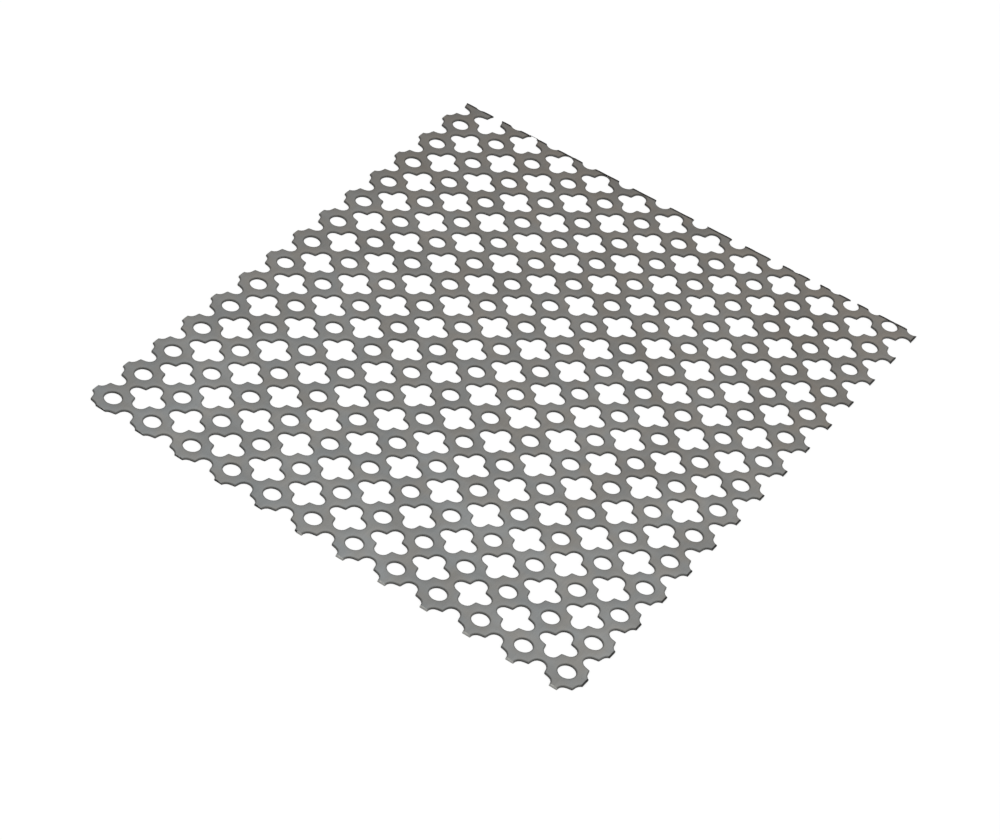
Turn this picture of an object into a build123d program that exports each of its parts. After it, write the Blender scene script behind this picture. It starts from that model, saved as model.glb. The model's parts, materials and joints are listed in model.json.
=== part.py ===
from build123d import *
from math import asin, atan2, cos, hypot, sin
import os

# Decorative perforated steel sheet: round holes on a square grid, and a four-leaf clover hole in every square.
# The sheet lies flat with its underside on Z = 0. X runs along its short side and Y along its long side.
# The origin is the centre of the rectangle that the four outermost whole round holes make.
# Sizes are in millimetres.

# Stock
thickness = 1.0

# Grid of round holes that are left whole
pitch = 20.8
columns = 12
rows = 14

# Round hole
round_hole_radius = 3.85

# Clover hole: four leaves along X and Y, each tapering from its root to a round tip
leaf_reach = 8.55
leaf_tip_radius = 3.3
leaf_root = 3.7
tooth_radius = 0.25

# Sheared outline: how far each corner of the sheet lies beyond the centre of the nearest whole round hole
front_left_trim_x = 9.45
front_left_trim_y = 8.2
front_right_trim_x = 8.75
front_right_trim_y = 10.4
back_right_trim_x = 12.9
back_right_trim_y = 25.3
back_left_trim_x = 9.45
back_left_trim_y = 17.2

# The front was sheared in two strokes, which meet in line with this column of holes, counted from 0 at the left
stroke_meeting_column = 5
stroke_meeting_trim_y = 10.4

half_grid_width = (columns - 1) * pitch / 2
half_grid_length = (rows - 1) * pitch / 2
sheet_corners = [
    (-half_grid_width - front_left_trim_x, -half_grid_length - front_left_trim_y),
    (-half_grid_width + stroke_meeting_column * pitch, -half_grid_length - stroke_meeting_trim_y),
    (half_grid_width + front_right_trim_x, -half_grid_length - front_right_trim_y),
    (half_grid_width + back_right_trim_x, half_grid_length + back_right_trim_y),
    (-half_grid_width - back_left_trim_x, half_grid_length + back_left_trim_y),
]

# The pattern runs on past the shears, so rings of spare holes surround the whole ones
widest_trim = max(max(abs(x) - half_grid_width, abs(y) - half_grid_length) for x, y in sheet_corners)
spare_rings = 1 + int(widest_trim // pitch)


def leaf_side_touch_point():
    """Where the straight side of the leaf along +X runs into its round tip."""
    tip_centre_x = leaf_reach - leaf_tip_radius
    run, drop = tip_centre_x - leaf_root, -leaf_root
    distance = hypot(run, drop)
    side_length = (distance**2 - leaf_tip_radius**2) ** 0.5
    side_angle = atan2(drop, run) + asin(leaf_tip_radius / distance)
    return leaf_root + side_length * cos(side_angle), leaf_root + side_length * sin(side_angle)


def clover_outline():
    """The closed outline of a clover hole, leaf after leaf."""
    touch_x, touch_y = leaf_side_touch_point()
    with BuildLine() as outline:
        for quarter in range(4):
            root_in, touch_in, tip, touch_out, root_out = (
                Vector(x, y).rotate(Axis.Z, 90 * quarter)
                for x, y in (
                    (leaf_root, -leaf_root),
                    (touch_x, -touch_y),
                    (leaf_reach, 0),
                    (touch_x, touch_y),
                    (leaf_root, leaf_root),
                )
            )
            Line(root_in, touch_in)
            ThreePointArc(touch_in, tip, touch_out)
            Line(touch_out, root_out)
    return outline.line


def clover_hole():
    """The face of a clover hole, with the metal teeth between its leaves slightly blunted."""
    with BuildSketch() as hole:
        with BuildLine():
            add(clover_outline())
        make_face()
        teeth = hole.vertices().group_by(lambda corner: hypot(corner.X, corner.Y))[0]
        fillet(teeth, tooth_radius)
    return hole.sketch


def sheet_profile():
    """The sheared outline with every hole of the pattern cut out of it."""
    clover = clover_hole()
    with BuildSketch() as profile:
        with BuildLine():
            Polyline(*sheet_corners, close=True)
        make_face()
        with GridLocations(pitch, pitch, columns + 2 * spare_rings, rows + 2 * spare_rings):
            Circle(round_hole_radius, mode=Mode.SUBTRACT)
        with GridLocations(pitch, pitch, columns + 2 * spare_rings - 1, rows + 2 * spare_rings - 1):
            add(clover, mode=Mode.SUBTRACT)
    return profile.sketch


with BuildPart() as perforated_sheet:
    add(sheet_profile())
    extrude(amount=thickness)

perforated_sheet.part.label = "perforated_sheet"
os.makedirs("parts", exist_ok=True)
export_step(perforated_sheet.part, "parts/perforated_sheet.step")
print("solids", len(perforated_sheet.part.solids()), "faces", len(perforated_sheet.part.faces()))
print("volume", round(perforated_sheet.part.volume, 1), perforated_sheet.part.bounding_box())
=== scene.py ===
import json
from math import acos, atan2, hypot, radians

import bmesh
import bpy
from mathutils import Matrix, Vector


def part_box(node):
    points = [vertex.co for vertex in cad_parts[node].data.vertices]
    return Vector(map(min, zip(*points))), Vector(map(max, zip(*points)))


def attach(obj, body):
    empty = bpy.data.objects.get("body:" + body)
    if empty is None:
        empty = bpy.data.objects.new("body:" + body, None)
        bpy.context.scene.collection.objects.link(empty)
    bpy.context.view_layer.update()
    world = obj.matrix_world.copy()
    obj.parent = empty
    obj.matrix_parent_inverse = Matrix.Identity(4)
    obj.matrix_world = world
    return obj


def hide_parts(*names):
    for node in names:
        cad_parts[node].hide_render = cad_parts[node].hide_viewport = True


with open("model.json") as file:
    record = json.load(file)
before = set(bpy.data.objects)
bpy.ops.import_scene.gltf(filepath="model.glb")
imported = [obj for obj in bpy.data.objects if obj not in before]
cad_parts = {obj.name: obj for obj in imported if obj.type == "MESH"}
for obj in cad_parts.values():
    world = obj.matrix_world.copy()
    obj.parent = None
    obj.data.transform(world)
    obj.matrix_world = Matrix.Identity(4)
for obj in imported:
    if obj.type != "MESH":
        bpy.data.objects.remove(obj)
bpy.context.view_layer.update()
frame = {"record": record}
mm = 0.001
mounts = {mount["name"]: mount for mount in frame["record"]["mounts"]}
sheetLow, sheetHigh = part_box("perforated_sheet")
print("frame loaded")

# Which of the sheet's materials a face takes. A rolled rim takes the lower of its two neighbours' numbers,
# so every rim goes with the wall below it.
# The first cut material is bright steel with painted light on it, the second dull steel with painted shade.
brightLitCut, dullShadedCut, punchedFace, rolledFace = range(4)

sheetSizes = {
    "columns": 12,  # whole round holes across
    "rows": 14,  # whole round holes along
    "leafReach": 8.55,  # clover centre to leaf tip, mm
    "leafTipRadius": 3.3,
    "leafRoot": 3.7,  # clover centre to the tooth between two leaves, along X and along Y
    "toothBlunt": 0.2,  # taken off each side of the tooth's point
    "tipSteps": 4,  # edges in half a leaf tip
    "punchRollover": 0.15,  # rim drawn down by the punch
    "shearRollover": 0.3,  # rim drawn down by the shear
    "fullRollLength": 4,  # a shorter edge of a cut ends a narrow stub and rolls over less
    "drawnBand": 1.3,  # width of the band beside each hole that dips towards it
    "drawnDepth": 0.1,  # how far it dips
    "brightLitStroke": 1,  # this cut, counted from 0 at the front left, was torn; its wall is bright steel with painted light on it
    "tornSlope": 0.45,  # how far its underside sticks out beyond its top edge
    "burrCut": 3,  # the cut at the back
    "burrColumn": 1.5,  # the clover whose open leaf a hair of metal still bridges
    "burrHair": (4.4, 0.14, 0.18),  # length, width and height of the hair
    "burrSunk": 0.02,  # how far the top of the hair lies below the top face
    # how far the sheared corners lie beyond the nearest whole round hole, X and Y
    "frontLeftTrim": (9.45, 8.2),
    "frontRightTrim": (8.75, 10.4),
    "backRightTrim": (12.9, 25.3),
    "backLeftTrim": (9.45, 17.2),
    # the two strokes of the front cut meet at this column of holes
    "strokeColumn": 5,
    "strokeTrim": 10.4,
    # points closer than this are one: in a mirrored cell or where a cut passes, between cells, along a cut
    "fineWeld": 0.001,
    "cellWeld": 0.002,
    "cutWeld": 0.03,
    "tipWithin": 0.01,  # a point this close to a leaf's round tip lies on it
    "cutWithin": 0.02,  # a wall this close to a cut was made by it
    "sharpAngle": 50,  # degrees between faces from which their edge looks sharp
}


def sheetCorners():
    # the corners of the sheared outline, counter-clockwise from the front left, in metres
    spacing = mounts["corner_holes"]["dims"]
    halfX, halfY = spacing["spacing_x_mm"] / 2, spacing["spacing_y_mm"] / 2
    pitch = spacing["spacing_x_mm"] / (sheetSizes["columns"] - 1)
    signs = {"frontLeft": (-1, -1), "frontRight": (1, -1), "backRight": (1, 1), "backLeft": (-1, 1)}
    corners = []
    for name, (signX, signY) in signs.items():
        trimX, trimY = sheetSizes[name + "Trim"]
        corners.append(Vector((signX * (halfX + trimX), signY * (halfY + trimY), 0)) * mm)
    meeting = Vector((sheetSizes["strokeColumn"] * pitch - halfX, -halfY - sheetSizes["strokeTrim"], 0)) * mm
    return [corners[0], meeting] + corners[1:]


def mirrorAbout(bm, matrix):
    everything = bm.verts[:] + bm.edges[:] + bm.faces[:]
    bmesh.ops.mirror(bm, geom=everything, matrix=matrix, merge_dist=0, axis="X")
    bmesh.ops.remove_doubles(bm, verts=bm.verts, dist=sheetSizes["fineWeld"] * mm)


def newVerts(bm, edges):
    extruded = bmesh.ops.extrude_edge_only(bm, edges=edges)["geom"]
    return [item for item in extruded if isinstance(item, bmesh.types.BMVert)]


def cellAroundHole(pitch, holeRadius):
    # one square of the pattern: the metal between a round hole and the quarters of four clovers, with the
    # band beside each rim that the punch drew down
    reach, tipRadius, root, blunt, band = (
        sheetSizes[key] * mm for key in ("leafReach", "leafTipRadius", "leafRoot", "toothBlunt", "drawnBand"))
    half = pitch / 2
    tipCentre = Vector((half, half - reach + tipRadius, 0))
    tooth = Vector((half - root, half - root, 0))
    # half of the leaf's round tip, up to where the straight side touches it
    toRoot = hypot(reach - tipRadius - root, root)
    halfTip = atan2(root, root - reach + tipRadius) - acos(tipRadius / toRoot)

    bm = bmesh.new()
    drawn = bm.verts.layers.float.new("drawnDown")
    tip = bm.verts.new((half, half - reach, 0))
    arc = bmesh.ops.spin(bm, geom=[tip], cent=tipCentre, axis=(0, 0, -1), angle=halfTip,
                         steps=sheetSizes["tipSteps"], use_duplicate=False)
    sideStart = [item for item in arc["geom_last"] if isinstance(item, bmesh.types.BMVert)][0]
    alongSide = (sideStart.co - tooth).normalized()
    sideEnd = bmesh.ops.extrude_vert_indiv(bm, verts=[sideStart])["verts"][0]
    sideEnd.co = tooth + alongSide * blunt
    toothEnd = bmesh.ops.extrude_vert_indiv(bm, verts=[sideEnd])["verts"][0]
    toothEnd.co = [(sideEnd.co.x + sideEnd.co.y) / 2] * 2 + [0]
    for vert in bm.verts:
        vert[drawn] = 1
    # the inner side of the band, round the tip and behind the tooth
    intoMetal = Vector((-1, -1, 0)).normalized()
    behindTooth = tooth + intoMetal * band / intoMetal.cross(alongSide).length
    for vert in newVerts(bm, bm.edges[:]):
        vert[drawn] = 0
        fromCentre = vert.co - tipCentre
        onTip = fromCentre.length < tipRadius + sheetSizes["tipWithin"] * mm
        vert.co = tipCentre + fromCentre * (1 + band / tipRadius) if onTip else behindTooth
    levelTip = min(bm.verts, key=lambda vert: (vert.co - Vector((half, half - reach - band, 0))).length)
    bridge = bmesh.ops.extrude_vert_indiv(bm, verts=[levelTip])["verts"][0]
    bridge.co = (half, 0, 0)
    for turn in (45, 0, 90):
        mirrorAbout(bm, Matrix.Rotation(radians(turn), 4, "Z"))
    # the same loop drawn in to the band of the round hole, then to its rim
    loop = [edge for edge in bm.edges if edge.verts[0][drawn] < 0.5 and edge.verts[1][drawn] < 0.5]
    for radius, marked in ((holeRadius + band, 0), (holeRadius, 1)):
        ring = newVerts(bm, loop)
        for vert in ring:
            vert.co = vert.co.normalized() * radius
            vert[drawn] = marked
        loop = [edge for edge in bm.edges if edge.verts[0] in ring and edge.verts[1] in ring]
    return bm


def repeatCell(bm, pitch):
    # the pattern, one row and column wider than the whole holes
    cell = bm.verts[:] + bm.edges[:] + bm.faces[:]
    for column in range(sheetSizes["columns"] + 2):
        for row in range(sheetSizes["rows"] + 2):
            place = Vector(((column - (sheetSizes["columns"] + 1) / 2) * pitch,
                            (row - (sheetSizes["rows"] + 1) / 2) * pitch, 0))
            copied = bmesh.ops.duplicate(bm, geom=cell)["geom"]
            verts = [item for item in copied if isinstance(item, bmesh.types.BMVert)]
            bmesh.ops.translate(bm, verts=verts, vec=place)
    firstVerts = [item for item in cell if isinstance(item, bmesh.types.BMVert)]
    bmesh.ops.delete(bm, geom=firstVerts, context="VERTS")
    bmesh.ops.remove_doubles(bm, verts=bm.verts, dist=sheetSizes["cellWeld"] * mm)


def shearAlong(bm, cuts):
    for start, end in cuts:
        outward = (end - start).cross(Vector((0, 0, 1)))
        everything = bm.verts[:] + bm.edges[:] + bm.faces[:]
        bmesh.ops.bisect_plane(bm, geom=everything, dist=sheetSizes["fineWeld"] * mm, plane_co=start,
                               plane_no=outward, clear_outer=True)
    bmesh.ops.remove_doubles(bm, verts=bm.verts, dist=sheetSizes["cutWeld"] * mm)
    bmesh.ops.recalc_face_normals(bm, faces=bm.faces)


def thicken(bm, cuts):
    # from the underside up, with every wall marked by the tool that made it
    raised = bmesh.ops.extrude_face_region(bm, geom=bm.faces[:], use_keep_orig=True)["geom"]
    raisedVerts = [item for item in raised if isinstance(item, bmesh.types.BMVert)]
    thickness = sheetHigh.z - sheetLow.z
    bmesh.ops.translate(bm, verts=raisedVerts, vec=(0, 0, thickness))
    bmesh.ops.recalc_face_normals(bm, faces=bm.faces)
    rollover = bm.edges.layers.float.new("bevel_weight_edge")
    punchShare = sheetSizes["punchRollover"] / sheetSizes["shearRollover"]
    tornVerts = set()
    for face in bm.faces:
        face.material_index = rolledFace
        if abs(face.normal.z) > 0.5:
            continue
        middle = face.calc_center_median()
        middle.z = 0
        face.material_index = punchedFace
        for number, (start, end) in enumerate(cuts):
            if (middle - start).cross((end - start).normalized()).length < sheetSizes["cutWithin"] * mm:
                face.material_index = brightLitCut if number == sheetSizes["brightLitStroke"] else dullShadedCut
        for edge in face.edges:
            if min(vert.co.z for vert in edge.verts) > thickness / 2:
                cutShare = edge.calc_length() / (sheetSizes["fullRollLength"] * mm)
                cutShare = max(punchShare, min(1, cutShare))
                edge[rollover] = punchShare if face.material_index == punchedFace else cutShare
        if face.material_index == brightLitCut:
            tornVerts.update(vert for vert in face.verts if vert.co.z < thickness / 2)
    drawn = bm.verts.layers.float["drawnDown"]
    for vert in raisedVerts:
        vert.co.z -= sheetSizes["drawnDepth"] * mm * vert[drawn]
    start, end = cuts[sheetSizes["brightLitStroke"]]
    outward = (end - start).cross(Vector((0, 0, 1))).normalized()
    bmesh.ops.translate(bm, verts=list(tornVerts), vec=outward * sheetSizes["tornSlope"] * mm)


def bridgeWithHair(bm, cuts, pitch):
    # a hair of metal the shear left along the top of its cut, across the mouth of a clover
    start, end = cuts[sheetSizes["burrCut"]]
    along = (end - start).normalized()
    inward = Vector((0, 0, 1)).cross(along)
    length, width, height = (size * mm for size in sheetSizes["burrHair"])
    x = (sheetSizes["burrColumn"] - (sheetSizes["columns"] - 1) / 2) * pitch
    middle = start + along * ((x - start.x) / along.x) + inward * width / 2
    middle.z = sheetHigh.z - height / 2 - sheetSizes["burrSunk"] * mm
    place = Matrix.Translation(middle) @ Matrix.Rotation(atan2(along.y, along.x), 4, "Z")
    hair = bmesh.ops.create_cube(bm, size=1, matrix=place @ Matrix.Diagonal((length, width, height, 1)))
    for face in {face for vert in hair["verts"] for face in vert.link_faces}:
        face.material_index = rolledFace


def makeSheet(cuts):
    holeRadius = mounts["corner_holes"]["dims"]["hole_r_mm"] * mm
    pitch = mounts["corner_holes"]["dims"]["spacing_x_mm"] * mm / (sheetSizes["columns"] - 1)
    bm = cellAroundHole(pitch, holeRadius)
    print("one cell:", len(bm.verts), "vertices")
    repeatCell(bm, pitch)
    shearAlong(bm, cuts)
    thicken(bm, cuts)
    bridgeWithHair(bm, cuts, pitch)
    openEdges = [edge for edge in bm.edges if len(edge.link_faces) != 2]
    print("sheet:", len(bm.faces), "faces,", len(openEdges), "open edges")

    mesh = bpy.data.meshes.new("punchedSheet")
    bm.to_mesh(mesh)
    bm.free()
    piece = bpy.data.objects.new("punchedSheet", mesh)
    bpy.context.scene.collection.objects.link(piece)
    for face in mesh.polygons:
        face.use_smooth = True
    mesh.set_sharp_from_angle(angle=radians(sheetSizes["sharpAngle"]))
    rolled = piece.modifiers.new("rolledRims", "BEVEL")
    rolled.limit_method = "WEIGHT"
    rolled.width = sheetSizes["shearRollover"] * mm
    rolled.segments = 1
    rolled.use_clamp_overlap = False
    rolled.harden_normals = True
    return piece


def hexColour(code):
    # an sRGB hex value as linear red, green, blue and alpha
    channels = [int(code[i:i + 2], 16) / 255 for i in (1, 3, 5)]
    return [c / 12.92 if c <= 0.04045 else ((c + 0.055) / 1.055) ** 2.4 for c in channels] + [1]


def addNode(tree, kind, settings=None, inputs=None, links=None):
    node = tree.nodes.new(kind)
    for name, value in (settings or {}).items():
        setattr(node, name, value)
    for name, value in (inputs or {}).items():
        node.inputs[name].default_value = value
    for name, source in (links or {}).items():
        tree.links.new(source, node.inputs[name])
    return node


def startMaterial(name, metallic=1.0):
    material = bpy.data.materials.new(name)
    material.use_nodes = True
    shader = material.node_tree.nodes["Principled BSDF"]
    shader.inputs["Metallic"].default_value = metallic
    return material, material.node_tree, shader


def stretchedNoise(tree, sizes, detail, roughness=0.5):
    # noise on the object's own coordinates, its grains this many mm long in X, Y and Z
    place = addNode(tree, "ShaderNodeTexCoord").outputs["Object"]
    scale = [1 / (size * mm) for size in sizes]
    mapping = addNode(tree, "ShaderNodeMapping", inputs={"Scale": scale}, links={"Vector": place})
    return addNode(tree, "ShaderNodeTexNoise", inputs={"Scale": 1, "Detail": detail, "Roughness": roughness},
                   links={"Vector": mapping.outputs[0]}).outputs["Fac"]


def spread(tree, source, low, high, toLow, toHigh):
    return addNode(tree, "ShaderNodeMapRange",
                   inputs={"From Min": low, "From Max": high, "To Min": toLow, "To Max": toHigh},
                   links={"Value": source}).outputs["Result"]


def mixColours(tree, factor, first, second, blend="MIX"):
    # the factor and both colours may be plain values or another node's output
    node = addNode(tree, "ShaderNodeMix", {"data_type": "RGBA", "blend_type": blend})
    for socket, value in ((0, factor), (6, first), (7, second)):
        if isinstance(value, bpy.types.NodeSocket):
            tree.links.new(value, node.inputs[socket])
        else:
            node.inputs[socket].default_value = value
    return node.outputs[2]


steelTones = {
    # painted shade: the front tone is lighter and the back tone darker, as if less light reached the back;
    # the back is also warmer in hue
    "frontLitCool": "#979897",
    "backShadedWarm": "#85817c",
    # the shift from the lit, cool front to the shaded, warm back wanders by this many metres, over this many
    # mm
    "shiftWander": 0.25,
    "shiftSize": 55,
    # the other tones multiply that one
    "mottleDark": "#ececec",
    "mottleLight": "#ffffff",
    "mottleSize": 34,  # mm across a patch of brighter or duller skin
    "tintCool": "#fafdff",
    "tintWarm": "#fffcf8",
    "tintSize": 12,
    "patchRange": (0.35, 0.65),  # the noise at which a patch starts and is full
    "rimPaintedShade": "#929290",  # painted shade in the band beside each hole, where a punch has drawn the skin down
    "edgeDark": "#4c4c4b",  # a darker band on the top face along a cut
    "edgeDarkFull": 0.7,  # mm from the cut the line stays full, and where it has faded out
    "edgeDarkFaded": 1.6,
    # the cuts with such a line, at the right and at the back, counted like the bright stroke, and how much of
    # that width each has
    "edgeDarkCuts": {2: 0.5, 3: 1},
    "grainSize": (0.9, 22, 1),  # mm; rolling lines are a tenth of this width, drawn wider to show
    "grainShade": (0.97, 1.03),
    "grainRelief": 0.01,  # mm
    "grainBump": 0.25,
    "scuffSize": (7, 11.2, 5),  # mm
    "lineRange": (0.3, 0.7),  # the noise at which a line or a scuff starts and is full
    "roughness": (0.42, 0.56),
}


def distanceFromCuts(tree, cuts):
    # how far inside the nearest darkened cut a point lies, counted more where the dark line is narrower
    nearest = None
    for number, share in steelTones["edgeDarkCuts"].items():
        start, end = cuts[number]
        along = (end - start).normalized()
        inward = Vector((0, 0, 1)).cross(along)
        place = addNode(tree, "ShaderNodeTexCoord").outputs["Object"]
        turned = addNode(tree, "ShaderNodeMapping", inputs={"Location": (-inward.dot(start) / share, 0, 0),
                                                            "Rotation": (0, 0, -atan2(inward.y, inward.x)),
                                                            "Scale": (1 / share,) * 3},
                         links={"Vector": place})
        distance = addNode(tree, "ShaderNodeSeparateXYZ", links={0: turned.outputs[0]}).outputs["X"]
        if nearest is None:
            nearest = distance
        else:
            nearest = addNode(tree, "ShaderNodeMath", {"operation": "MINIMUM"},
                              links={0: nearest, 1: distance}).outputs[0]
    return nearest


def coldRolledSteel(cuts):
    # cold-rolled mild steel, left bare: dull grey, faint rolling lines along the sheet, patches of oil and
    # handling that shift it between cool and warm, a tone that grows darker and warmer towards the back, the
    # darkening being painted shade, and a soft broken reflection
    material, tree, shader = startMaterial("coldRolledMildSteel")
    place = addNode(tree, "ShaderNodeTexCoord").outputs["Object"]
    alongSheet = addNode(tree, "ShaderNodeSeparateXYZ", links={0: place}).outputs["Y"]
    shift = stretchedNoise(tree, (steelTones["shiftSize"],) * 3, 2)
    wander = steelTones["shiftWander"]
    shifted = addNode(tree, "ShaderNodeMath", {"operation": "MULTIPLY_ADD"}, {1: wander, 2: -wander / 2},
                      {0: shift})
    along = addNode(tree, "ShaderNodeMath", {"operation": "ADD"},
                    links={0: alongSheet, 1: shifted.outputs[0]})
    # painted shade, darker and warmer towards the back, along a wavering line
    backShadeAndWarmth = spread(tree, along.outputs[0], sheetLow.y, sheetHigh.y, 0, 1)
    base = mixColours(tree, backShadeAndWarmth, hexColour(steelTones["frontLitCool"]), hexColour(steelTones["backShadedWarm"]))
    mottle = spread(tree, stretchedNoise(tree, (steelTones["mottleSize"],) * 3, 3),
                    *steelTones["patchRange"], 0, 1)
    patches = mixColours(tree, mottle, hexColour(steelTones["mottleDark"]),
                         hexColour(steelTones["mottleLight"]))
    tint = spread(tree, stretchedNoise(tree, (steelTones["tintSize"],) * 3, 2),
                  *steelTones["patchRange"], 0, 1)
    tints = mixColours(tree, tint, hexColour(steelTones["tintCool"]), hexColour(steelTones["tintWarm"]))
    grain = stretchedNoise(tree, steelTones["grainSize"], 3, 0.6)
    streaks = spread(tree, grain, *steelTones["lineRange"], *steelTones["grainShade"])
    toned = mixColours(tree, 1, mixColours(tree, 1, base, patches, "MULTIPLY"), tints, "MULTIPLY")
    streaked = mixColours(tree, 1, toned, streaks, "MULTIPLY")
    # painted shade: the inner half of the drawn band beside each hole is darkened
    drawn = addNode(tree, "ShaderNodeAttribute", {"attribute_name": "drawnDown"}).outputs["Fac"]
    rimShaded = mixColours(tree, spread(tree, drawn, 0.5, 1, 0, 1), hexColour("#ffffff"),
                        hexColour(steelTones["rimPaintedShade"]))
    # a dark band on the top face along the right and back cuts, fading out away from the cut
    inside = distanceFromCuts(tree, cuts)
    pastEdgeDark = spread(tree, inside, steelTones["edgeDarkFull"] * mm, steelTones["edgeDarkFaded"] * mm, 0, 1)
    marked = mixColours(tree, pastEdgeDark, hexColour(steelTones["edgeDark"]), hexColour("#ffffff"))
    dulled = mixColours(tree, 1, mixColours(tree, 1, streaked, rimShaded, "MULTIPLY"), marked, "MULTIPLY")
    tree.links.new(dulled, shader.inputs["Base Color"])
    scuffs = stretchedNoise(tree, steelTones["scuffSize"], 4, 0.6)
    roughness = spread(tree, scuffs, *steelTones["lineRange"], *steelTones["roughness"])
    tree.links.new(roughness, shader.inputs["Roughness"])
    bump = addNode(tree, "ShaderNodeBump",
                   inputs={"Strength": steelTones["grainBump"], "Distance": steelTones["grainRelief"] * mm},
                   links={"Height": grain})
    tree.links.new(bump.outputs[0], shader.inputs["Normal"])
    return material


# Cut walls: the smooth upper land and the torn break below it, the height in mm where they meet, and the
# roughness of the land
wallTones = {
    "punchedSteelWall": ("#666563", "#484847", 0.6, 0.55),
    # the bright sheared edge's tones also hold painted light, the dull sheared edge's tones painted shade
    "brightLitShearedSteelEdge": ("#adada9", "#9a9a97", 0.5, 0.6),
    "dullShadedShearedSteelEdge": ("#4a4a48", "#2e2e2d", 0.6, 0.55),
}
wallPattern = {
    "waverSize": (2.2, 2.2, 4),  # mm
    "waverHeight": 0.9,  # mm by which the line between land and break wanders
    "meetingBlur": 0.1,  # mm, to either side of that line
    "breakRougher": 0.12,
    "breakGrain": 0.15,  # mm; the break's grains are a third of this, drawn coarser to show
    "breakRelief": 0.03,  # mm
    "breakBump": 0.4,
}


def cutSteel(name):
    # steel cut through by a tool: a smooth burnished land above, then a darker grainy break down to the
    # underside, with a wavering line between them
    landTone, breakTone, meeting, roughness = wallTones[name]
    material, tree, shader = startMaterial(name)
    place = addNode(tree, "ShaderNodeTexCoord").outputs["Object"]
    height = addNode(tree, "ShaderNodeSeparateXYZ", links={0: place}).outputs["Z"]
    waver = stretchedNoise(tree, wallPattern["waverSize"], 3)
    swing = wallPattern["waverHeight"] * mm
    lifted = addNode(tree, "ShaderNodeMath", {"operation": "MULTIPLY_ADD"}, {1: swing, 2: -swing / 2},
                     {0: waver})
    wavering = addNode(tree, "ShaderNodeMath", {"operation": "ADD"}, links={0: height, 1: lifted.outputs[0]})
    blur = wallPattern["meetingBlur"]
    zone = spread(tree, wavering.outputs[0], (meeting - blur) * mm, (meeting + blur) * mm, 0, 1)
    tone = mixColours(tree, zone, hexColour(breakTone), hexColour(landTone))
    tree.links.new(tone, shader.inputs["Base Color"])
    roughened = spread(tree, zone, 0, 1, roughness + wallPattern["breakRougher"], roughness)
    tree.links.new(roughened, shader.inputs["Roughness"])
    grains = stretchedNoise(tree, (wallPattern["breakGrain"],) * 3, 3)
    bump = addNode(tree, "ShaderNodeBump",
                   inputs={"Strength": wallPattern["breakBump"], "Distance": wallPattern["breakRelief"] * mm},
                   links={"Height": grains})
    tree.links.new(bump.outputs[0], shader.inputs["Normal"])
    return material


corners = sheetCorners()
cuts = list(zip(corners, corners[1:] + corners[:1]))
sheet = makeSheet(cuts)
sheet.data.materials.append(cutSteel("brightLitShearedSteelEdge"))
sheet.data.materials.append(cutSteel("dullShadedShearedSteelEdge"))
sheet.data.materials.append(cutSteel("punchedSteelWall"))
sheet.data.materials.append(coldRolledSteel(cuts))
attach(sheet, "root")
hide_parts("perforated_sheet")
print("sheet dressed")

studio = {
    "floorSize": 6.0,
    "floorDrop": 0.05,  # mm below the sheet's underside, so that the two faces stay apart
    "floorWhite": "#f2f2f2",
    "floorRoughness": 0.9,
    "cameraWhite": 0.8,  # how far the camera and reflections see the floor as plain white
    "skyTop": (0.5, 0.0, 0.87),  # towards the brightest part of the sky
    "skyLow": 0.35,
    "skyHigh": 1.62,
    # a soft box above the front left: its place, its width in metres and its watts
    "boxPlace": (-0.7, -0.9, 1.0),
    "boxWidth": 0.6,
    "boxWatts": 4.0,
    "lensMm": 106.6,
    "sensorMm": 36,
    "clipFrom": 0.01,
    "clipTo": 50,
    "cameraPlace": (0.3931, -0.911, 0.8472),
    "cameraTurn": (47.71, -10.54, 32.7),  # degrees
}


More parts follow.
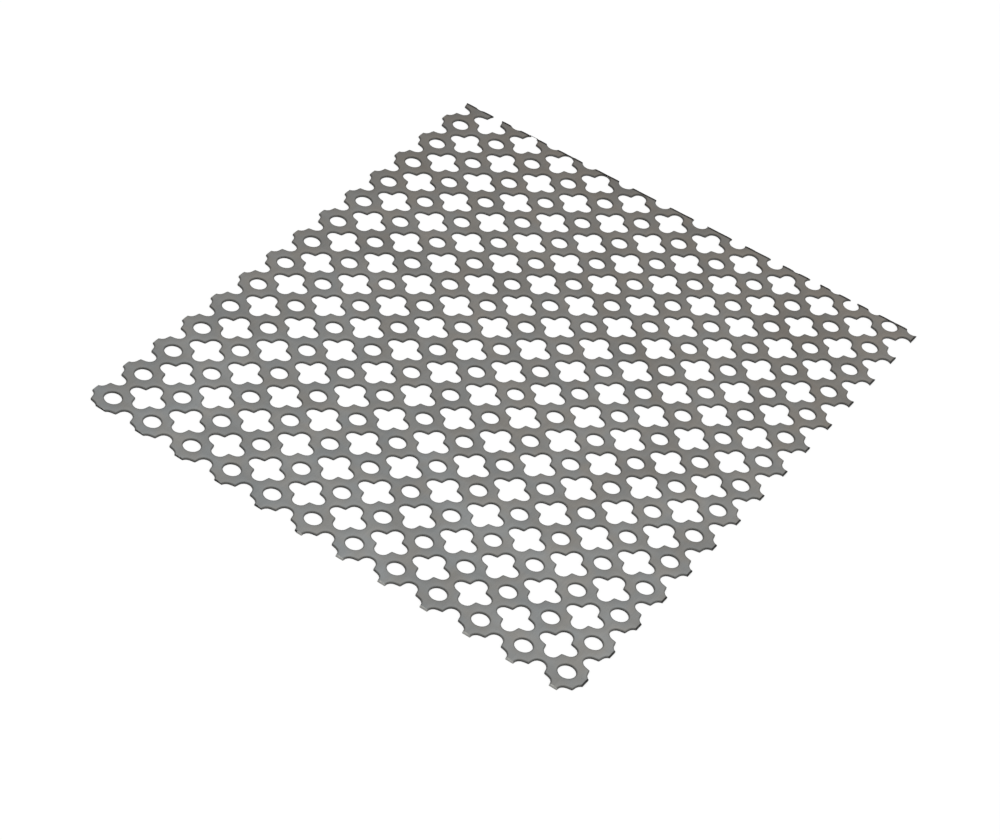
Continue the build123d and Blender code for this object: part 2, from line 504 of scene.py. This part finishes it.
def makeFloor():
    bm = bmesh.new()
    bmesh.ops.create_grid(bm, x_segments=1, y_segments=1, size=studio["floorSize"] / 2)
    bmesh.ops.translate(bm, verts=bm.verts, vec=(0, 0, sheetLow.z - studio["floorDrop"] * mm))
    mesh = bpy.data.meshes.new("floor")
    bm.to_mesh(mesh)
    bm.free()
    floor = bpy.data.objects.new("floor", mesh)
    bpy.context.scene.collection.objects.link(floor)
    # matt white paint, rolled on: no gloss, and only the sheet's soft shadow shows on it
    material, tree, shader = startMaterial("whitePaintedFloor", metallic=0.0)
    shader.inputs["Base Color"].default_value = hexColour(studio["floorWhite"])
    shader.inputs["Roughness"].default_value = studio["floorRoughness"]
    shader.inputs["Specular IOR Level"].default_value = 0.0
    path = addNode(tree, "ShaderNodeLightPath")
    seen = addNode(tree, "ShaderNodeMath", {"operation": "MAXIMUM"},
                   links={0: path.outputs["Is Camera Ray"], 1: path.outputs["Is Glossy Ray"]})
    share = addNode(tree, "ShaderNodeMath", {"operation": "MULTIPLY"}, {1: studio["cameraWhite"]},
                    {0: seen.outputs[0]})
    white = addNode(tree, "ShaderNodeEmission", inputs={"Color": hexColour("#ffffff"), "Strength": 1})
    both = addNode(tree, "ShaderNodeMixShader", links={0: share.outputs[0], 1: shader.outputs[0],
                                                       2: white.outputs[0]})
    tree.links.new(both.outputs[0], tree.nodes["Material Output"].inputs["Surface"])
    mesh.materials.append(material)
    return floor


def makeWorld():
    # an even white sky, brightest overhead and a little to the right
    world = bpy.data.worlds.new("studio")
    bpy.context.scene.world = world
    world.use_nodes = True
    tree = world.node_tree
    background = tree.nodes["Background"]
    background.inputs["Color"].default_value = hexColour("#ffffff")
    direction = addNode(tree, "ShaderNodeTexCoord").outputs["Generated"]
    height = addNode(tree, "ShaderNodeVectorMath", {"operation": "DOT_PRODUCT"}, {1: studio["skyTop"]},
                     {0: direction}).outputs["Value"]
    sky = spread(tree, height, 0, 1, studio["skyLow"], studio["skyHigh"])
    tree.links.new(sky, background.inputs["Strength"])


def makeSoftBox():
    data = bpy.data.lights.new("softBox", "AREA")
    data.shape = "SQUARE"
    data.size = studio["boxWidth"]
    data.energy = studio["boxWatts"]
    lamp = bpy.data.objects.new("softBox", data)
    lamp.location = studio["boxPlace"]
    lamp.rotation_euler = (-Vector(studio["boxPlace"])).to_track_quat("-Z", "Y").to_euler()
    bpy.context.scene.collection.objects.link(lamp)


def makeCamera():
    data = bpy.data.cameras.new("camera")
    data.lens = studio["lensMm"]
    data.sensor_width = studio["sensorMm"]
    data.clip_start, data.clip_end = studio["clipFrom"], studio["clipTo"]
    camera = bpy.data.objects.new("camera", data)
    camera.location = studio["cameraPlace"]
    camera.rotation_euler = [radians(angle) for angle in studio["cameraTurn"]]
    bpy.context.scene.collection.objects.link(camera)
    bpy.context.scene.camera = camera


makeFloor()
makeWorld()
makeSoftBox()
makeCamera()
bpy.context.scene.view_settings.view_transform = "Standard"
print("studio ready")
